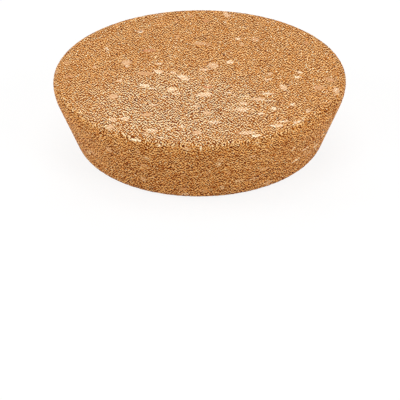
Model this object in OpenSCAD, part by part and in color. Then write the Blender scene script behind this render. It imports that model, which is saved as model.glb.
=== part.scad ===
// Tapered stopper of agglomerated cork: one solid piece with a ground side and softened edges.
// The wide face is up. The origin is the centre of the narrow face, on which the stopper stands.
// All sizes are in millimetres.

/* [Stopper] */
// Diameter at the widest point, just under the wide face
top_d = 100; // [90:1:160]
// Diameter of the narrow face, measured at its sharp corner
base_d = 83.5; // [60:0.5:88]
// Height from the narrow face to the wide face
height = 25; // [20:0.5:60]

/* [Edges] */
// Radius of the rim, round the wide face
rim_r = 2; // [0.5:0.1:4]
// Radius of the shoulder, which turns the taper upright below the rim
shoulder_r = 10; // [1:0.5:20]
// Radius of the foot, round the narrow face
foot_r = 3.6; // [0.5:0.1:6]

/* [Hidden] */
$fn = 180;
cork_color = "#C49164";

// Each arc stands this far proud of the lines that it is tangent to, so that it crosses them cleanly
arc_lap = 0.001;

// The rim and the shoulder are both tangent to the upright line through the widest point
top_r = top_d / 2;
base_r = base_d / 2;
rim_centre = [top_r - rim_r, height - rim_r];
shoulder_centre = [top_r - shoulder_r, height - rim_r];

// The taper runs from the corner of the narrow face, tangent to the shoulder
to_shoulder = shoulder_centre - [base_r, 0];
taper_angle = 90 - atan2(to_shoulder.y, to_shoulder.x) + asin(shoulder_r / norm(to_shoulder));
shoulder_corner = [top_r, (top_r - base_r) / tan(taper_angle)];

// The foot is tangent to the taper and to the narrow face
foot_centre = [base_r - foot_r * (1 - sin(taper_angle)) / cos(taper_angle), foot_r];

// What lies outside an arc of radius r, between the directions from and to, in degrees
module outside_arc(centre, r, from, to) {
    middle = (from + to) / 2;
    reach = 2 * r;
    translate(centre)
        difference() {
            polygon([
                [0, 0],
                reach * [cos(from), sin(from)],
                reach * [cos(middle), sin(middle)],
                reach * [cos(to), sin(to)]
            ]);
            circle(r + arc_lap);
        }
}

// Half of the stopper's section: the sharp outline less its three corners
module half_section() {
    difference() {
        polygon([[0, 0], [base_r, 0], shoulder_corner, [top_r, height], [0, height]]);
        outside_arc(foot_centre, foot_r, -90, -taper_angle);
        outside_arc(shoulder_centre, shoulder_r, -taper_angle, 0);
        outside_arc(rim_centre, rim_r, 0, 90);
    }
}

module stopper() {
    color(cork_color)
        rotate_extrude()
            half_section();
}

stopper();
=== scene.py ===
"""Looks of the cork stopper: one dense mesh with real relief, agglomerated cork, and a plain studio."""

import math

import bpy
import numpy as np
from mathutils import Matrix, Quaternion, Vector


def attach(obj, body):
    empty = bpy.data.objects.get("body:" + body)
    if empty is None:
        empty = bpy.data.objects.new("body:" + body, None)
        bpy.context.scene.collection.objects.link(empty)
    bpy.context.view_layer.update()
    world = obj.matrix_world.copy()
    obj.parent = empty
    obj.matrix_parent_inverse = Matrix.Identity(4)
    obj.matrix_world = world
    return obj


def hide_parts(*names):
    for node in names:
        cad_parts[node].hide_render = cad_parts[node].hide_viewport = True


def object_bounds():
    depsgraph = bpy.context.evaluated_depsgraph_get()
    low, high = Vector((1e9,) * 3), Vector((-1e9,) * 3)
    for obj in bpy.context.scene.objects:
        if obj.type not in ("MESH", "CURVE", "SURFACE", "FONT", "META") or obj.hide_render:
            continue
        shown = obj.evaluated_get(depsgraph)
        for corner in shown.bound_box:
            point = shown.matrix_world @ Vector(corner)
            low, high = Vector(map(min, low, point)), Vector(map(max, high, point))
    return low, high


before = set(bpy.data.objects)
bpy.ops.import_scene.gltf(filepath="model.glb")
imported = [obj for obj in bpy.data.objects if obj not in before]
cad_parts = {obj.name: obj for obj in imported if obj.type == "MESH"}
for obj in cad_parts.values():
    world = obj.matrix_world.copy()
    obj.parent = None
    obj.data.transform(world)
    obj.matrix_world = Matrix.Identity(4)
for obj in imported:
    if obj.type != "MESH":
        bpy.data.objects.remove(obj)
CAD_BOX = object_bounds()

MM = 0.001
NODE = "stopper"

# The stopper's widest radius and its height, in mm
RADIUS = round(CAD_BOX[1].x / MM, 3)
HEIGHT = round(CAD_BOX[1].z / MM, 3)

# Mesh: each flat face is a disc of hexagonal rings, and the side has as many columns as the last ring
RINGS = 100
COLUMNS = 6 * RINGS
SIDE_ROWS = 63
# How the CAD's outline is read: heights are rounded to these decimals of a metre, and a vertex belongs to
# such a height when it lies closer to it than this
HEIGHT_DECIMALS = 6
SAME_HEIGHT = 2e-6

# The unwrapped surface, in mm: a square with the two discs on its diagonal, and the side in strips, half
# of them lying in one of the other two corners, and half standing in the last
MAP_SIDE = 157.0
MAP_GAP = 1.0
STRIPS_TO_A_CORNER = 2
STRIPS = 2 * STRIPS_TO_A_CORNER
STRIP_LENGTH = 73.0

# Camera, as fitted to the photograph's outline of the stopper: its distance in metres, its angles, and in
# pixels of the picture its focal length and the place of the stopper's middle, from the top left corner
PICTURE_PX = 400
CAMERA_DISTANCE = 0.8333
CAMERA_ELEVATION = math.radians(28.63)
CAMERA_ROLL = math.radians(0.35)
SENSOR_MM = 36.0
FOCAL_PX = 2420.2
STOPPER_AT_PX = (199.74, 105.52)

# Cork's colours, as tone and 0 to 255 screen values: the grain from its dark gaps to its pale curls, the
# same with a painted sheen, paler and whiter, in part of the wide face, and the flakes
CORK_TONES = (
    (0.0, (94, 34, 0)),
    (0.25, (154, 78, 4)),
    (0.5, (201, 125, 42)),
    (0.75, (229, 161, 84)),
    (1.0, (246, 201, 138)),
)
PAINTED_SHEEN_TONES = (
    (0.0, (98, 32, 0)),
    (0.4, (187, 104, 14)),
    (0.75, (239, 174, 92)),
    (1.0, (255, 236, 192)),
)
FLAKE_TONES = (
    (0.0, (190, 114, 56)),
    (0.2, (197, 139, 75)),
    (0.5, (210, 157, 106)),
    (0.75, (223, 176, 130)),
    (1.0, (255, 240, 206)),
)
SPECK = (84, 38, 8)
# Near-white crumbs: partly pale crumbs of cork, partly painted glints
CRUMB_AND_GLINT = (255, 240, 200)
# What the ground side's colour is multiplied by: partly the ground cork's own tone, and partly painted
# shade, the deeper, darker colour of a side that lies in shade
GROUND_TINT_AND_SHADE = (0.98, 0.87, 0.71)

# The heights over which the ground side fades out at the rim and fades in at the foot, in mm
RIM_FADE = (HEIGHT - 1.6, HEIGHT - 0.5)
FOOT_FADE = (0.1, 0.8)
# The part of the wide face with a painted sheen, paler and with whiter curls: its middle and half size in
# mm, and its edge in parts of that half size
PAINTED_SHEEN_MIDDLE = (-8.0, -26.0, HEIGHT)
PAINTED_SHEEN_REACH = (40.0, 36.0, 1.0)
PAINTED_SHEEN_FADE = (1.15, 0.3)

# How the grain lies. Above RIM_FROM, heights in mm gain RIM_PRESS times the square of what they are above
# it. All places are then multiplied by PRESSED along x, y and z, so that the grain is finer there, and are
# turned round an axis by so many radians, so that the noise's own grid doesn't show.
RIM_FROM = HEIGHT - 3.0
RIM_PRESS = 0.1
PRESSED = (1.95, 1.2, 1.75)
GRAIN_AXIS = (0.4, 0.3, 0.86)
GRAIN_TURN = 0.9

# What the grain is made of, in cells to a mm once it is pressed: small pale and dark curls, pale sparks
# and dark pores among them, granules of a tone each, ridges, lumps that make the relief, fine grit, and
# broad patches. The streaks of the ground side are in cells to a mm along x, y and z.
CURLS_PER_MM = 1.1
SPARKS_PER_MM = 1.15
PORES_PER_MM = 1.15
GRANULES_PER_MM = 1.5
RIDGES_PER_MM = 0.85
LUMPS_PER_MM = 0.75
FINE_PER_MM = 3.0
PATCHES_PER_MM = 0.12
STREAKS_PER_MM = (0.3, 0.3, 2.0)
# Octaves that are added to the soft noises and to the lumps, and how strongly they are added to the grit
SOFT_DETAIL = 2.0
LUMP_DETAIL = 1.0
FINE_ROUGHNESS = 0.6
# The value about which noise and random numbers swing
NOISE_MIDDLE = 0.5

# Curls, sparks and pores are made crisp by taking off what lies a step away, in cells, in these shares:
# for steps across and along a flat face, or round and up the side
CRISP_STEP = 1.0
CRISP_SHARES = (0.4, 1.0)
# Sparks and pores are the extremes of such noise: how far off it is read, from which value a spark or pore
# begins to which it is full, and about what they average
SPARK_SHIFT = (31.0, 12.0, 7.0)
PORE_SHIFT = (-23.0, 41.0, 19.0)
SPARK_RANGE = (0.06, 0.19)
PORE_RANGE = (0.06, 0.2)
EXTREMES_MIDDLE = 0.15

# What makes bits ragged, and what takes them off a grid: cells to a mm, and mm of movement
RAGGED_PER_MM = 2.2
RAGGED_BY = 0.6
DRIFT_PER_MM = 0.4
DRIFT_BY = 2.5

# Scattered bits: cells to a mm, the share of cells left plain, and size and soft edge in parts of a cell
BIG_FLAKES = (0.2, 0.84, 0.42, 0.05)
SMALL_FLAKES = (0.45, 0.84, 0.4, 0.08)
SPECKS = (0.4, 0.9, 0.3, 0.05)
# crumbs are partly pale cork and partly painted glints
CRUMBS_AND_GLINTS = (0.9, 0.75, 0.42, 0.1)
CRUMB_AND_GLINT_SHIFT = (17.0, 5.0, 9.0)
# The share of the grain that scattered flakes cover, and from which tone to which they vary
BIG_COVER = 0.8
SMALL_COVER = 0.7
BIG_TONES = (0.1, 0.8)
SMALL_TONES = (0.3, 0.8)
# Edge of the listed flakes: how it is frayed, in cells to a mm and in mm, and how many
# mm it is soft to either side
FRAYS_PER_MM = 0.9
FRAYED_BY = 2.2
PLACED_EDGE = 0.15

# The grain's tone: its middle and the curls' contrast, each in the plain and in the part with a painted
# sheen, what the ground side and broad patches multiply that contrast by, and the contrasts of the rest
TONE_MIDDLE = (0.46, 0.42)
CURL_CONTRAST = (1.6, 2.4)
GROUND_CONTRAST = 1.6
PATCHINESS = (0.85, 1.15)
PATCH_RANGE = (0.35, 0.65)
SPARK_CONTRAST = 0.9
PORE_CONTRAST = 0.7
GRANULE_CONTRAST = 0.25
# The ridges' contrast is painted shade: the tone is darker in the hollows of the bump's ridges
RIDGE_SHADE_CONTRAST = 0.1
FINE_CONTRAST = 0.25
PATCH_CONTRAST = 0.05
STREAK_CONTRAST = 1.6
# The curls' contrast in the flakes' tone
FLAKE_GRAIN = 1.0

# Relief of the mesh: its depth in mm on a flat face and on the ground side, and from which value of the
# lumps' noise it is pressed in to which it is deepest
FLAT_RELIEF = 0.12
GROUND_RELIEF = 0.15
PIT_RANGE = (0.7, 0.25)
# Heights of the shader's bump, in mm, and the share by which flakes smooth both relief and bump
RIDGE_BUMP = 0.3
CURL_BUMP = 0.3
FINE_BUMP = 0.05
FLAKE_SMOOTHING = 0.7

# Roughness in the grain's gaps, on its brightest curls, and on flakes and crumbs, whose near-white is
# partly painted glints, and the level of specular
GAP_ROUGHNESS = 0.85
CURL_ROUGHNESS = 0.55
FLAKE_ROUGHNESS = 0.45
SPECULAR = 0.12

# Vectors stored at the mesh's vertices: the place on the smooth form in mm, and what placed_flakes gives
REST_PLACE = "rest_place"
PLACED_FLAKES = "placed_flakes"

# Flakes that stand out on the wide face: middle, half length, half width in mm, turn in degrees, and tone
TOP_FLAKES = (
    (-14.0, 1.5, 1.6, 1.2, 0, 0.78),
    (-5.5, -2.9, 2.6, 1.4, -50, 0.76),
    (-9.0, 0.7, 1.3, 0.9, -45, 0.72),
    (-18.5, 0.2, 2.8, 1.2, -5, 0.3),
    (4.8, 5.7, 1.8, 2.3, 20, 0.58),
    (1.5, 2.8, 1.9, 0.9, 10, 0.66),
    (10.3, 8.2, 1.4, 1.2, 0, 0.8),
    (1.6, -15.2, 2.9, 1.5, 8, 0.72),
    (13.9, -25.8, 2.1, 1.5, -8, 0.74),
    (15.5, -41.5, 3.0, 1.2, 8, 0.68),
    (18.4, -43.5, 1.6, 0.8, 5, 0.95),
    (25.2, -36.9, 2.3, 0.9, 0, 0.74),
    (27.2, -34.2, 2.4, 0.6, 5, 0.7),
    (22.8, -14.8, 2.4, 0.8, 0, 0.74),
    (19.7, -18.6, 2.2, 1.2, 0, 0.64),
    (22.7, -19.7, 1.3, 0.4, 0, 0.9),
    (20.4, -28.6, 1.0, 0.9, 0, 0.74),
    (24.5, -25.3, 0.9, 0.9, 0, 0.94),
    (14.6, -21.6, 1.6, 0.9, -15, 0.74),
    (9.8, -13.9, 1.3, 0.7, 0, 0.74),
    (15.8, -16.8, 1.2, 0.6, 0, 0.78),
    (28.3, -10.4, 1.0, 2.2, 20, 0.66),
    (33.3, -3.2, 1.5, 0.6, 20, 0.9),
    (31.0, -22.6, 1.1, 0.9, 0, 0.72),
    (32.0, -34.6, 1.8, 0.8, 30, 0.76),
    (23.1, -4.8, 1.2, 0.7, 0, 0.66),
    (2.2, -27.8, 1.3, 1.2, 0, 0.64),
    (-1.1, -23.6, 1.1, 0.8, 0, 0.7),
    (4.5, -34.3, 1.8, 1.0, 0, 0.74),
    (-6.0, -37.2, 1.2, 0.7, 0, 0.8),
    (-9.4, -11.4, 1.6, 1.5, -10, 0.74),
    (-7.8, -14.4, 1.1, 0.7, 0, 0.82),
    (-11.6, -16.3, 1.4, 0.5, 0, 0.8),
    (-10.1, -38.1, 1.0, 0.5, 0, 0.92),
    (-12.7, -44.5, 1.0, 0.5, 0, 0.92),
    (-0.8, -41.3, 1.5, 1.4, 0, 0.6),
    (-24.9, -31.5, 1.6, 1.2, -5, 0.76),
    (-28.8, -32.2, 1.1, 1.5, 30, 0.64),
    (-29.5, -37.2, 1.3, 1.4, 0, 0.62),
    (-15.8, -39.7, 1.7, 1.2, -10, 0.74),
    (-17.6, -28.9, 1.7, 1.1, 0, 0.5),
    (-15.6, -22.2, 1.4, 0.8, 0, 0.72),
    (-18.7, -8.5, 1.7, 0.9, -10, 0.84),
    (-15.9, -10.6, 1.3, 0.5, 0, 0.92),
    (-26.9, -4.8, 1.2, 0.8, 0, 0.74),
    (-14.1, 7.4, 1.1, 0.8, 0, 0.72),
    (-20.7, 31.8, 1.3, 0.9, 0, 0.7),
    (13.7, 25.9, 1.0, 0.9, 0, 0.76),
    (19.7, 25.1, 1.6, 1.4, -20, 0.3),
    (0.0, 22.3, 2.2, 1.2, 0, 0.35),
    (40.1, -10.7, 1.8, 1.4, -10, 0.28),
    (44.3, -5.0, 2.1, 1.0, -40, 0.26),
    (46.0, -12.9, 1.1, 2.3, 10, 0.62),
    (34.0, 0.5, 1.2, 0.7, -30, 0.8),
    (-25.1, 8.3, 1.8, 1.9, 0, 0.5),
    (-28.9, -16.2, 1.5, 1.6, 0, 0.55),
    (10.1, 44.0, 1.1, 1.1, 0, 0.6),
    (2.8, -10.0, 1.7, 1.1, 0, 0.05),
    (-17.7, 17.2, 2.8, 1.1, 0, 0.02),
    (-44.7, -1.7, 1.8, 0.7, 0, 0.1),
)
# The same on the rim and the side, where the middle is given in degrees round from the front and in height
SIDE_FLAKES = (
    (0.2, 23.7, 0.4, 0.7, 0, 1.0),
    (-25.5, 24.3, 1.9, 0.35, 4, 0.97),
    (-15.5, 23.9, 0.7, 0.4, 0, 0.95),
    (-5.0, 23.6, 1.2, 0.5, 0, 0.66),
    (-21.5, 18.0, 1.3, 0.5, 0, 0.7),
    (17.0, 7.5, 1.4, 0.5, 0, 0.74),
    (-6.5, 2.2, 1.6, 0.6, 0, 0.7),
    (2.0, 4.2, 1.3, 0.5, 0, 0.5),
    (40.0, 16.0, 1.0, 0.5, 40, 0.8),
    (8.0, 18.5, 1.3, 0.6, 10, 0.55),
    (20.4, 18.4, 1.4, 0.5, 5, 0.66),
    (31.7, 3.1, 1.8, 0.5, 0, 0.72),
    (23.3, 7.2, 1.9, 0.45, 0, 0.66),
    (27.6, 11.0, 2.0, 0.45, 0, 0.62),
    (44.6, 9.0, 1.8, 0.55, 8, 0.88),
    (48.6, 12.6, 2.0, 0.5, 0, 0.74),
    (58.5, 9.8, 2.4, 0.55, 0, 0.76),
    (63.3, 12.5, 2.2, 0.5, 0, 0.74),
    (-7.6, 4.8, 1.4, 0.55, 0, 0.5),
    (-23.2, 13.8, 1.4, 0.5, 0, 0.55),
    (-52.3, 10.3, 1.6, 0.5, 0, 0.55),
)
# The height above which a place counts as on the wide face for the lists above, the radius outside which
# both lists reach it, and what stands for the distance to a flake where none is near, all in mm
RIM_HEIGHT = HEIGHT - 0.5
RIM_RADIUS = RADIUS - 2.0
NO_FLAKE = -5.0

# Studio: strength of the surrounding light, and lamps by name, place and size in metres, and watts
AMBIENT = 0.22
SOFTBOXES = (
    ("above", (0.0, 0.0, 0.8), (0.5, 0.5), 2.05),
    ("behind", (0.0, 0.7, 0.45), (0.5, 0.3), 2.2),
    ("left", (-0.7, 0.0, 0.35), (0.3, 0.3), 1.95),
    ("right", (0.7, 0.0, 0.35), (0.3, 0.3), 1.3),
    ("front_left", (-0.5, -0.5, 0.35), (0.3, 0.3), 1.4),
    ("front_right", (0.5, -0.5, 0.35), (0.3, 0.3), 2.2),
)
# Floor: its size in metres, how pale it is for the light that it sends back up, the share of shading that
# shows where it is seen, and the distances from the stopper, in metres, over which that fades out
FLOOR_SIZE = 6.0
FLOOR_ALBEDO = 0.85
FLOOR_SHADE = 0.14
FLOOR_FADE = (0.12, 0.4)


def srgb(red, green, blue):
    """A colour written as 0 to 255 screen values, as the linear values that Blender's shaders take."""
    def linear(value):
        value /= 255
        return value / 12.92 if value <= 0.04045 else ((value + 0.055) / 1.055) ** 2.4
    return (linear(red), linear(green), linear(blue), 1.0)


# ---------------------------------------------------------------- nodes

class Graph:
    """Adds nodes to a shader or geometry tree. A socket or a plain value can stand for any input."""

    def __init__(self, tree):
        self.tree = tree

    def node(self, kind, inputs=(), **settings):
        """A new node, with its settings, and its inputs given by name or number."""
        made = self.tree.nodes.new(kind)
        for name, value in settings.items():
            setattr(made, name, value)
        for key, value in dict(inputs).items():
            if isinstance(value, bpy.types.NodeSocket):
                self.tree.links.new(value, made.inputs[key])
            else:
                made.inputs[key].default_value = value
        return made

    def link(self, output, target):
        self.tree.links.new(output, target)

    def attribute(self, name):
        """A vector that is stored at each vertex of the mesh."""
        if self.tree.type == "GEOMETRY":
            made = self.node("GeometryNodeInputNamedAttribute", {"Name": name}, data_type="FLOAT_VECTOR")
            return made.outputs["Attribute"]
        return self.node("ShaderNodeAttribute", attribute_name=name).outputs["Vector"]

    def mix(self, share, first, second):
        """A number that goes from first to second as share goes from 0 to 1."""
        return self.node("ShaderNodeMix", {"Factor": share, "A": first, "B": second}).outputs["Result"]

    # the mix node has sockets of the same names for each kind of value, so these two go by number
    def mix_vector(self, share, first, second):
        inputs = {0: share, 4: first, 5: second}
        return self.node("ShaderNodeMix", inputs, data_type="VECTOR").outputs[1]

    def mix_colour(self, share, first, second, blend="MIX"):
        inputs = {0: share, 6: first, 7: second}
        return self.node("ShaderNodeMix", inputs, data_type="RGBA", blend_type=blend).outputs[2]

    def math(self, operation, *values):
        return self.node("ShaderNodeMath", enumerate(values), operation=operation).outputs[0]

    def vector(self, operation, *values):
        return self.node("ShaderNodeVectorMath", enumerate(values), operation=operation).outputs[0]

    def scaled(self, vector, factor):
        made = self.node("ShaderNodeVectorMath", {0: vector, "Scale": factor}, operation="SCALE")
        return made.outputs[0]

    def length(self, vector):
        return self.node("ShaderNodeVectorMath", {0: vector}, operation="LENGTH").outputs["Value"]

    def parts(self, vector):
        return self.node("ShaderNodeSeparateXYZ", {0: vector}).outputs

    def ramp(self, value, low, high, to_low=0.0, to_high=1.0):
        """value taken smoothly from the range low..high to the range to_low..to_high, and held there."""
        inputs = {"Value": value, "From Min": low, "From Max": high, "To Min": to_low, "To Max": to_high}
        made = self.node("ShaderNodeMapRange", inputs, interpolation_type="SMOOTHSTEP")
        return made.outputs["Result"]

    def weighted(self, start, *terms):
        """start plus, for each (weight, value, middle), the weight times the value less its middle."""
        total = start
        for weight, value, middle in terms:
            swing = self.math("SUBTRACT", value, middle)
            total = self.math("MULTIPLY_ADD", swing, weight, total)
        return total

    def noise(self, vector, scale=1.0, detail=0.0, roughness=0.5):
        inputs = {"Vector": vector, "Scale": scale, "Detail": detail, "Roughness": roughness}
        return self.node("ShaderNodeTexNoise", inputs).outputs

    def cells(self, vector, scale):
        inputs = {"Vector": vector, "Scale": scale}
        return self.node("ShaderNodeTexVoronoi", inputs).outputs

    def tones(self, tone, stops):
        """A colour read off a list of (tone, screen colour)."""
        ramp = self.node("ShaderNodeValToRGB", {"Fac": tone})
        elements = ramp.color_ramp.elements
        for at, _ in stops[1:-1]:
            elements.new(at)
        for element, (at, colour) in zip(elements, stops):
            element.position = at
            element.color = srgb(*colour)
        return ramp.outputs["Color"]


# ---------------------------------------------------------------- grain

def grain_space(g, vector):
    """A place or a step in the pressed grain's own directions."""
    pressed = g.vector("MULTIPLY", vector, PRESSED)
    inputs = {"Vector": pressed, "Axis": GRAIN_AXIS, "Angle": GRAIN_TURN}
    return g.node("ShaderNodeVectorRotate", inputs).outputs[0]


def side_mask(g, place):
    """1 on the ground side, and 0 on the two flat faces."""
    height = g.parts(place)[2]
    return g.math("MULTIPLY", g.ramp(height, *RIM_FADE, 1.0, 0.0), g.ramp(height, *FOOT_FADE))


def surface_steps(g, place, ground):
    """Two steps of length 1 in the grain: across and along a flat face, or round and up the side."""
    round_axis = g.vector("NORMALIZE", g.vector("CROSS_PRODUCT", (0.0, 0.0, 1.0), place))
    across = g.mix_vector(ground, (1.0, 0.0, 0.0), round_axis)
    along = g.mix_vector(ground, (0.0, 1.0, 0.0), (0.0, 0.0, 1.0))
    return [g.vector("NORMALIZE", grain_space(g, step)) for step in (across, along)]


def crisp_noise(g, turned, steps, scale):
    """Noise about zero, less shares of what lies a step away on each side, so it has no broad patches."""
    balance = (sum(CRISP_SHARES) - 1) * NOISE_MIDDLE
    crisp = g.math("ADD", g.noise(turned, scale)["Fac"], balance)
    for step, share in zip(steps, CRISP_SHARES):
        move = g.scaled(step, CRISP_STEP / scale)
        for operation in ("ADD", "SUBTRACT"):
            beside = g.noise(g.vector(operation, turned, move), scale)["Fac"]
            crisp = g.math("MULTIPLY_ADD", beside, -share / 2, crisp)
    return crisp


def wandering(g, place, per_mm, by):
    """The place moved about by noise, by up to about half the given length."""
    offset = g.vector("SUBTRACT", g.noise(place, per_mm, SOFT_DETAIL)["Color"], (NOISE_MIDDLE,) * 3)
    return g.vector("ADD", place, g.scaled(offset, by))


def scattered(g, place, kind):
    """A mask of separate bits of a kind, and three random numbers for each of them."""
    per_mm, plain, size, edge = kind
    cell = g.cells(place, per_mm)
    random = g.parts(cell["Color"])
    reach = g.ramp(random[0], plain, 1.0, 0.0, size)
    return g.ramp(g.math("SUBTRACT", reach, cell["Distance"]), 0.0, edge), random


def flakes(g, ragged, drifted):
    """A mask of all flakes and their tone: the listed ones, and scattered ones."""
    big, big_random = scattered(g, drifted, BIG_FLAKES)
    small, small_random = scattered(g, drifted, SMALL_FLAKES)
    tone = g.mix(big, g.mix(small_random[2], *SMALL_TONES), g.mix(big_random[1], *BIG_TONES))
    cover = g.math("MAXIMUM", g.math("MULTIPLY", big, BIG_COVER), g.math("MULTIPLY", small, SMALL_COVER))
    depth_in, placed_tone, _ = g.parts(g.attribute(PLACED_FLAKES))
    fray = g.noise(ragged, FRAYS_PER_MM, SOFT_DETAIL)["Fac"]
    placed = g.ramp(g.weighted(depth_in, (FRAYED_BY, fray, NOISE_MIDDLE)), -PLACED_EDGE, PLACED_EDGE)
    return g.math("MAXIMUM", placed, cover), g.mix(placed, tone, placed_tone)


def finer_at_rim(g, place):
    """The place with its height stretched towards the rim, where the grain is seen face on."""
    above = g.math("MAXIMUM", g.math("SUBTRACT", g.parts(place)[2], RIM_FROM), 0.0)
    more = g.math("MULTIPLY", g.math("POWER", above, 2.0), RIM_PRESS)
    return g.vector("ADD", place, g.node("ShaderNodeCombineXYZ", {"Z": more}).outputs[0])


def painted_sheen_mask(g, place, ground):
    """1 in the part of the wide face where a sheen is painted in, fading to 0 round it."""
    offset = g.vector("DIVIDE", g.vector("SUBTRACT", place, PAINTED_SHEEN_MIDDLE), PAINTED_SHEEN_REACH)
    return g.math("MULTIPLY", g.ramp(g.length(offset), *PAINTED_SHEEN_FADE), g.math("SUBTRACT", 1.0, ground))


def streaks(g, place, ground):
    """Thin level streaks on the ground side, about zero, and none on the flat faces."""
    level = g.noise(g.vector("MULTIPLY", place, STREAKS_PER_MM), detail=SOFT_DETAIL)["Fac"]
    return g.math("MULTIPLY", g.math("SUBTRACT", level, NOISE_MIDDLE), ground)


def cork_grain(g):
    """The grain's fields, the same for the relief and for the colour."""
    place = g.attribute(REST_PLACE)
    turned = grain_space(g, finer_at_rim(g, place))
    ground = side_mask(g, place)
    steps = surface_steps(g, place, ground)
    ragged = wandering(g, turned, RAGGED_PER_MM, RAGGED_BY)
    drifted = wandering(g, ragged, DRIFT_PER_MM, DRIFT_BY)
    flake, flake_tone = flakes(g, ragged, drifted)
    return {
        "ground": ground,
        # where a sheen is painted into the colour
        "pale": painted_sheen_mask(g, place, ground),
        "curl": crisp_noise(g, turned, steps, CURLS_PER_MM),
        "spark": crisp_noise(g, g.vector("ADD", turned, SPARK_SHIFT), steps, SPARKS_PER_MM),
        "pore": crisp_noise(g, g.vector("ADD", turned, PORE_SHIFT), steps, PORES_PER_MM),
        "granule": g.parts(g.cells(ragged, GRANULES_PER_MM)["Color"])[0],
        "ridge": g.noise(turned, RIDGES_PER_MM)["Fac"],
        "lump": g.noise(turned, LUMPS_PER_MM, LUMP_DETAIL)["Fac"],
        "fine": g.noise(turned, FINE_PER_MM, SOFT_DETAIL, FINE_ROUGHNESS)["Fac"],
        "patch": g.noise(turned, PATCHES_PER_MM, SOFT_DETAIL)["Fac"],
        "streak": streaks(g, place, ground),
        "speck": scattered(g, ragged, SPECKS)[0],
        # pale crumbs of cork, partly painted glints
        "crumb_and_glint": scattered(g, g.vector("ADD", ragged, CRUMB_AND_GLINT_SHIFT), CRUMBS_AND_GLINTS)[0],
        "flake": flake,
        "flake_tone": flake_tone,
    }


# ---------------------------------------------------------------- mesh

def outline_of(node):
    """(radius, height) points of a round node's side, from its foot's edge to its wide face's edge."""
    points = np.array([v.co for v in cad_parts[node].data.vertices], float)
    radii, heights = np.hypot(points[:, 0], points[:, 1]), points[:, 2]
    levels = np.unique(np.round(heights, HEIGHT_DECIMALS))
    widest = [radii[np.abs(heights - level) < SAME_HEIGHT].max() for level in levels]
    levels[0], levels[-1] = heights.min(), heights.max()
    return np.stack([widest, levels], 1)


def resampled(outline, count):
    """count points evenly spaced along an outline, with both ends, and the length up to each."""
    steps = np.hypot(*np.diff(outline, axis=0).T)
    along = np.concatenate([[0], np.cumsum(steps)])
    wanted = np.linspace(0, along[-1], count)
    return np.stack([np.interp(wanted, along, outline[:, i]) for i in (0, 1)], 1), wanted


def circle_points(radius, height, count, turn):
    """count points round a level circle, of which the first stands at an angle of turn."""
    angles = turn + 2 * math.pi * np.arange(count) / count
    return np.stack([radius * np.cos(angles), radius * np.sin(angles), np.full(count, height)], 1)


def disc_triangles(start):
    """Triangles of a disc whose centre is vertex start, followed by its rings of 6, 12, 18... vertices."""
    def first(ring):
        # 1 for the centre, and 6 + 12 + ... for the rings inside this one
        return start + 1 + 3 * ring * (ring - 1)
    triangles = [(start, start + 1 + i, start + 1 + (i + 1) % 6) for i in range(6)]
    for ring in range(2, RINGS + 1):
        outer, inner = first(ring), first(ring - 1)
        outer_count, inner_count = 6 * ring, 6 * (ring - 1)
        for sector in range(6):
            for i in range(ring):
                a = outer + sector * ring + i
                b = outer + (sector * ring + i + 1) % outer_count
                c = inner + (sector * (ring - 1) + i) % inner_count
                triangles.append((a, b, c))
                if i < ring - 1:
                    d = inner + (sector * (ring - 1) + i + 1) % inner_count
                    triangles.append((c, b, d))
    return triangles


def disc_points(radius, height, rings, turn):
    """A disc's centre and its first rings of 6, 12, 18... points, where RINGS rings reach the radius."""
    points = [np.array([[0, 0, height]])]
    for ring in range(1, rings + 1):
        points.append(circle_points(radius * ring / RINGS, height, 6 * ring, turn))
    return np.concatenate(points)


def side_corners():
    """The corners of the side's triangles as (column, row), where odd rows stand half a column on."""
    corners = []
    for row in range(SIDE_ROWS):
        for i in range(COLUMNS):
            low, high = (i, row), (i, row + 1)
            low_next, high_next = (i + 1, row), (i + 1, row + 1)
            if row % 2 == 0:
                corners += [(low, low_next, high), (low_next, high_next, high)]
            else:
                corners += [(low, low_next, high_next), (low, high_next, high)]
    return np.array(corners)


def body_points(rows):
    """The points of the foot's disc, of the side's rows above it, and of the wide face inside the last."""
    half_step = math.pi / COLUMNS
    foot = disc_points(*rows[0], RINGS, 0)
    side_rows = range(1, SIDE_ROWS + 1)
    side = [circle_points(*rows[row], COLUMNS, half_step * (row % 2)) for row in side_rows]
    wide_face = disc_points(*rows[-1], RINGS - 1, half_step * (SIDE_ROWS % 2))
    return foot, np.concatenate(side), wide_face


def side_map(corners, along):
    """Places on the map of the side's corners: strips lie along its top, or stand at its right."""
    column, row = corners[:, :, 0], corners[:, :, 1]
    per_strip = COLUMNS // STRIPS
    # both triangles of a cell lie in the strip of the cell's first column
    strip = (column.min(axis=1) // per_strip)[:, None]
    # a strip's odd rows reach half a column past its end, which a whole one more makes room for
    step = STRIP_LENGTH / (per_strip + 1)
    across = (column - strip * per_strip + 0.5 * (row % 2)) * step
    up = along[row] / MM
    pitch = along[-1] / MM + MAP_GAP
    shelf = strip % STRIPS_TO_A_CORNER
    lying = np.stack([MAP_GAP + across, MAP_SIDE - pitch * (1 + shelf) + up], -1)
    standing = np.stack([MAP_SIDE - MAP_GAP - pitch * shelf - up, MAP_GAP + across], -1)
    return np.where((strip < STRIPS_TO_A_CORNER)[:, :, None], lying, standing)


def face_map(points, centre, mirror):
    """Places on the map of a flat face's points, seen from outside, about a centre on its diagonal."""
    return centre + points[..., :2] / MM * (1, mirror)


def store_map(mesh, places):
    """Keeps the corners' places on the map, in mm, as the mesh's own map for baking."""
    unwrapped = mesh.uv_layers.new(name="OFBake")
    unwrapped.data.foreach_set("uv", (places / MAP_SIDE).ravel())


def store_vectors(mesh, name, vectors):
    attribute = mesh.attributes.new(name, "FLOAT_VECTOR", "POINT")
    attribute.data.foreach_set("vector", np.ascontiguousarray(vectors, np.float32).ravel())


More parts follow.
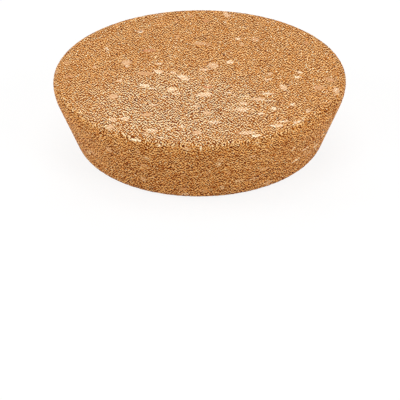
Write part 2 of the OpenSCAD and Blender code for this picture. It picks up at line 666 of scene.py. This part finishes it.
def build_body():
    """The stopper's smooth form as an even mesh, with its rest places, placed flakes and unwrapped map."""
    rows, along = resampled(outline_of(NODE), SIDE_ROWS + 1)
    parts = body_points(rows)
    points = np.concatenate(parts)
    foot_count, side_count, wide_count = [len(part) for part in parts]

    foot = np.array(disc_triangles(0))[:, ::-1]
    # the side's first row is the foot's last ring
    corners = side_corners()
    side = foot_count - COLUMNS + corners[:, :, 1] * COLUMNS + corners[:, :, 0] % COLUMNS
    # the wide face's last ring is the side's last row, which stands just before its centre
    wide_face = np.array(disc_triangles(foot_count + side_count))
    wide_face[wide_face >= len(points)] -= COLUMNS + wide_count

    mesh = bpy.data.meshes.new("cork_stopper")
    mesh.from_pydata(points.tolist(), [], np.concatenate([foot, side, wide_face]).tolist())
    mesh.polygons.foreach_set("use_smooth", [True] * len(mesh.polygons))
    foot_radius, wide_radius = rows[0][0] / MM, rows[-1][0] / MM
    store_map(mesh, np.concatenate([
        face_map(points[foot], MAP_SIDE - MAP_GAP - foot_radius, -1),
        side_map(corners, along),
        face_map(points[wide_face], MAP_GAP + wide_radius, 1),
    ]))
    store_vectors(mesh, REST_PLACE, points / MM)
    store_vectors(mesh, PLACED_FLAKES, placed_flakes(points / MM))
    return mesh


def depth_in_flake(across, up, half_length, half_width, turn):
    """How far places are inside an oval flake, from how far across and up from its middle they are."""
    cos, sin = math.cos(math.radians(turn)), math.sin(math.radians(turn))
    along, beside = across * cos + up * sin, up * cos - across * sin
    share_out = np.hypot(along / half_length, beside / half_width)
    return (1 - share_out) * math.sqrt(half_length * half_width)


def placed_flakes(points):
    """For each point, how far it is inside the nearest placed flake, in mm, that flake's tone, and 0."""
    x, y, height = points.T
    radius, angle = np.hypot(x, y), np.arctan2(x, -y)
    at_rim = radius > RIM_RADIUS
    on_top = height > RIM_HEIGHT
    on_side = ~on_top & (height > 0)
    best = np.full(len(points), NO_FLAKE)
    tones = np.zeros(len(points))

    def add(depth, where, tone):
        nearer = where & (depth > best)
        best[nearer] = depth[nearer]
        tones[nearer] = tone

    for middle_x, middle_y, *shape, tone in TOP_FLAKES:
        depth = depth_in_flake(x - middle_x, y - middle_y, *shape)
        add(depth, on_top | on_side & at_rim, tone)
    for degrees, middle_height, *shape, tone in SIDE_FLAKES:
        across = radius * (angle - math.radians(degrees))
        depth = depth_in_flake(across, height - middle_height, *shape)
        add(depth, on_side | at_rim, tone)
    return np.stack([best, tones, np.zeros(len(points))], 1)


# ---------------------------------------------------------------- relief

def left_by_flakes(g, field):
    """The share of relief and bump that is left: all of it, or less on a flake."""
    return g.math("MULTIPLY_ADD", field["flake"], -FLAKE_SMOOTHING, 1.0)


def relief_depth(g, field):
    """How deep the surface lies under the smooth form, in millimetres."""
    pit = g.ramp(field["lump"], *PIT_RANGE)
    deepest = g.mix(field["ground"], FLAT_RELIEF, GROUND_RELIEF)
    return g.math("MULTIPLY", g.math("MULTIPLY", pit, deepest), left_by_flakes(g, field))


def relief_group():
    """Geometry nodes that press the surface in by the depth of the grain at each vertex."""
    group = bpy.data.node_groups.new("cork_relief", "GeometryNodeTree")
    group.interface.new_socket("Geometry", in_out="INPUT", socket_type="NodeSocketGeometry")
    group.interface.new_socket("Geometry", in_out="OUTPUT", socket_type="NodeSocketGeometry")
    g = Graph(group)
    source = g.node("NodeGroupInput").outputs["Geometry"]
    depth = relief_depth(g, cork_grain(g))
    inward = g.scaled(g.node("GeometryNodeInputNormal").outputs["Normal"], g.math("MULTIPLY", depth, -MM))
    moved = g.node("GeometryNodeSetPosition", {"Geometry": source, "Offset": inward})
    g.node("NodeGroupOutput", {"Geometry": moved.outputs["Geometry"]})
    return group


def carve(piece):
    """Applies the relief to the piece's mesh."""
    modifier = piece.modifiers.new("relief", "NODES")
    modifier.node_group = relief_group()
    graph = bpy.context.evaluated_depsgraph_get()
    carved = bpy.data.meshes.new_from_object(piece.evaluated_get(graph))
    piece.modifiers.remove(modifier)
    piece.data = carved


# ---------------------------------------------------------------- material

def cork_tone(g, field):
    """How pale the grain is, from 0 in its gaps to 1 on its brightest curls."""
    contrast = g.ramp(field["patch"], *PATCH_RANGE, *PATCHINESS)
    # where the sheen is painted, the curls swing further, as painted glints on them
    contrast = g.math("MULTIPLY", contrast, g.mix(field["pale"], *CURL_CONTRAST))
    contrast = g.math("MULTIPLY", contrast, g.mix(field["ground"], 1.0, GROUND_CONTRAST))
    return g.weighted(
        g.mix(field["pale"], *TONE_MIDDLE),
        (contrast, field["curl"], 0.0),
        (SPARK_CONTRAST, g.ramp(field["spark"], *SPARK_RANGE), EXTREMES_MIDDLE),
        (-PORE_CONTRAST, g.ramp(field["pore"], *PORE_RANGE), EXTREMES_MIDDLE),
        (GRANULE_CONTRAST, field["granule"], NOISE_MIDDLE),
        # painted shade: darker in the hollows of the bump's ridges
        (RIDGE_SHADE_CONTRAST, field["ridge"], NOISE_MIDDLE),
        (FINE_CONTRAST, field["fine"], NOISE_MIDDLE),
        (PATCH_CONTRAST, field["patch"], NOISE_MIDDLE),
        (STREAK_CONTRAST, field["streak"], 0.0),
    )


def cork_colour(g, field, tone):
    """The grain's colour with its painted sheen, flakes, crumbs that are partly painted glints, and specks
    laid over it, and the ground side tinted, partly as painted shade.
    """
    # paler, whiter tones where a sheen is painted
    colour = g.mix_colour(field["pale"], g.tones(tone, CORK_TONES), g.tones(tone, PAINTED_SHEEN_TONES))
    flake_tone = g.weighted(field["flake_tone"], (FLAKE_GRAIN, field["curl"], 0.0))
    colour = g.mix_colour(field["flake"], colour, g.tones(flake_tone, FLAKE_TONES))
    # crumbs: pale cork, partly painted glints
    colour = g.mix_colour(field["crumb_and_glint"], colour, srgb(*CRUMB_AND_GLINT))
    colour = g.mix_colour(field["speck"], colour, srgb(*SPECK))
    # the ground side's own deeper tone, partly painted shade
    return g.mix_colour(field["ground"], colour, GROUND_TINT_AND_SHADE + (1.0,), "MULTIPLY")


def cork_height(g, field):
    """Heights of the bump, in millimetres, flatter on the flakes."""
    height = g.weighted(
        0.0,
        (RIDGE_BUMP, field["ridge"], NOISE_MIDDLE),
        (CURL_BUMP, field["curl"], 0.0),
        (FINE_BUMP, field["fine"], NOISE_MIDDLE),
    )
    return g.math("MULTIPLY", height, left_by_flakes(g, field))


def cork_material():
    material = bpy.data.materials.new("agglomerated_cork")
    material.use_nodes = True
    g = Graph(material.node_tree)
    shader = material.node_tree.nodes["Principled BSDF"]
    field = cork_grain(g)
    tone = cork_tone(g, field)
    g.link(cork_colour(g, field, tone), shader.inputs["Base Color"])
    bump = g.node("ShaderNodeBump", {"Height": cork_height(g, field), "Strength": 1.0, "Distance": MM})
    g.link(bump.outputs["Normal"], shader.inputs["Normal"])
    smooth = g.math("MAXIMUM", field["flake"], field["crumb_and_glint"])
    grain = g.ramp(tone, 0.0, 1.0, GAP_ROUGHNESS, CURL_ROUGHNESS)
    g.link(g.mix(smooth, grain, FLAKE_ROUGHNESS), shader.inputs["Roughness"])
    shader.inputs["Specular IOR Level"].default_value = SPECULAR
    return material


# ---------------------------------------------------------------- studio

def light_path_mask(g):
    """1 for rays straight from the camera or off a glossy or clear surface, and 0 for the rest."""
    rays = g.node("ShaderNodeLightPath").outputs
    seen = g.math("MAXIMUM", rays["Is Camera Ray"], rays["Is Glossy Ray"])
    return g.math("MAXIMUM", seen, rays["Is Transmission Ray"])


def build_world():
    world = bpy.data.worlds.new("studio")
    bpy.context.scene.world = world
    world.use_nodes = True
    g = Graph(world.node_tree)
    background = world.node_tree.nodes["Background"]
    background.inputs["Color"].default_value = (1, 1, 1, 1)
    strength = g.mix(light_path_mask(g), AMBIENT, 1.0)
    g.link(strength, background.inputs["Strength"])


def add_softbox(name, place, size, watts, target):
    data = bpy.data.lights.new(name, "AREA")
    data.shape = "RECTANGLE"
    data.size, data.size_y = size
    data.energy = watts
    lamp = bpy.data.objects.new(name, data)
    bpy.context.scene.collection.objects.link(lamp)
    lamp.location = place
    lamp.rotation_mode = "QUATERNION"
    lamp.rotation_quaternion = (target - Vector(place)).to_track_quat("-Z", "Y")


def floor_material():
    """White with a soft shadow where it is seen, and plain and pale for the light that it sends back up.

    The shading that is seen fades out away from the stopper, so that no grey band shows at the horizon.
    """
    material = bpy.data.materials.new("floor")
    material.use_nodes = True
    tree = material.node_tree
    g = Graph(tree)
    tree.nodes.remove(tree.nodes["Principled BSDF"])
    pale = g.node("ShaderNodeBsdfDiffuse", {"Color": (FLOOR_ALBEDO,) * 3 + (1,)}).outputs[0]
    distance = g.length(g.node("ShaderNodeNewGeometry").outputs["Position"])
    shade = g.ramp(distance, *FLOOR_FADE, FLOOR_SHADE, 0.0)
    faint = g.node("ShaderNodeBsdfDiffuse", {"Color": shade}).outputs[0]
    white = g.node("ShaderNodeEmission", {"Strength": g.math("SUBTRACT", 1.0, shade)}).outputs[0]
    shown = g.node("ShaderNodeAddShader", {0: faint, 1: white}).outputs[0]
    mixed = g.node("ShaderNodeMixShader", {0: light_path_mask(g), 1: pale, 2: shown}).outputs[0]
    g.link(mixed, tree.nodes["Material Output"].inputs["Surface"])
    return material


def build_floor(low):
    mesh = bpy.data.meshes.new("floor")
    half = FLOOR_SIZE / 2
    corners = [(-half, -half, low.z), (half, -half, low.z), (half, half, low.z), (-half, half, low.z)]
    mesh.from_pydata(corners, [], [(0, 1, 2, 3)])
    mesh.materials.append(floor_material())
    floor = bpy.data.objects.new("floor", mesh)
    bpy.context.scene.collection.objects.link(floor)


def place_camera(target):
    data = bpy.data.cameras.new("camera")
    data.sensor_width = SENSOR_MM
    data.lens = FOCAL_PX * SENSOR_MM / PICTURE_PX
    camera = bpy.data.objects.new("camera", data)
    bpy.context.scene.collection.objects.link(camera)
    back = Vector((0, -math.cos(CAMERA_ELEVATION), math.sin(CAMERA_ELEVATION)))
    camera.location = target + back * CAMERA_DISTANCE
    # the line of sight to the stopper is rolled, then turned to its place in the picture
    aim = (-back).to_track_quat("-Z", "Y") @ Quaternion((0, 0, 1), -CAMERA_ROLL)
    middle = PICTURE_PX / 2
    sight = Vector((STOPPER_AT_PX[0] - middle, middle - STOPPER_AT_PX[1], -FOCAL_PX))
    camera.rotation_mode = "QUATERNION"
    camera.rotation_quaternion = aim @ sight.rotation_difference(Vector((0, 0, -1)))
    bpy.context.scene.camera = camera


def build_studio():
    low, high = CAD_BOX
    middle = (low + high) / 2
    build_world()
    build_floor(low)
    for name, place, size, watts in SOFTBOXES:
        add_softbox(name, place, size, watts, middle)
    place_camera(middle)
    bpy.context.scene.view_settings.view_transform = "Standard"
    # the denoiser is led by the grain as it is: where that is smoothed first, fine grain is smeared
    bpy.context.scene.cycles.denoising_prefilter = "NONE"


def build_stopper():
    stopper = bpy.data.objects.new("cork_stopper", build_body())
    bpy.context.scene.collection.objects.link(stopper)
    carve(stopper)
    stopper.data.materials.append(cork_material())
    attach(stopper, "root")
    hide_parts(NODE)


build_stopper()
build_studio()
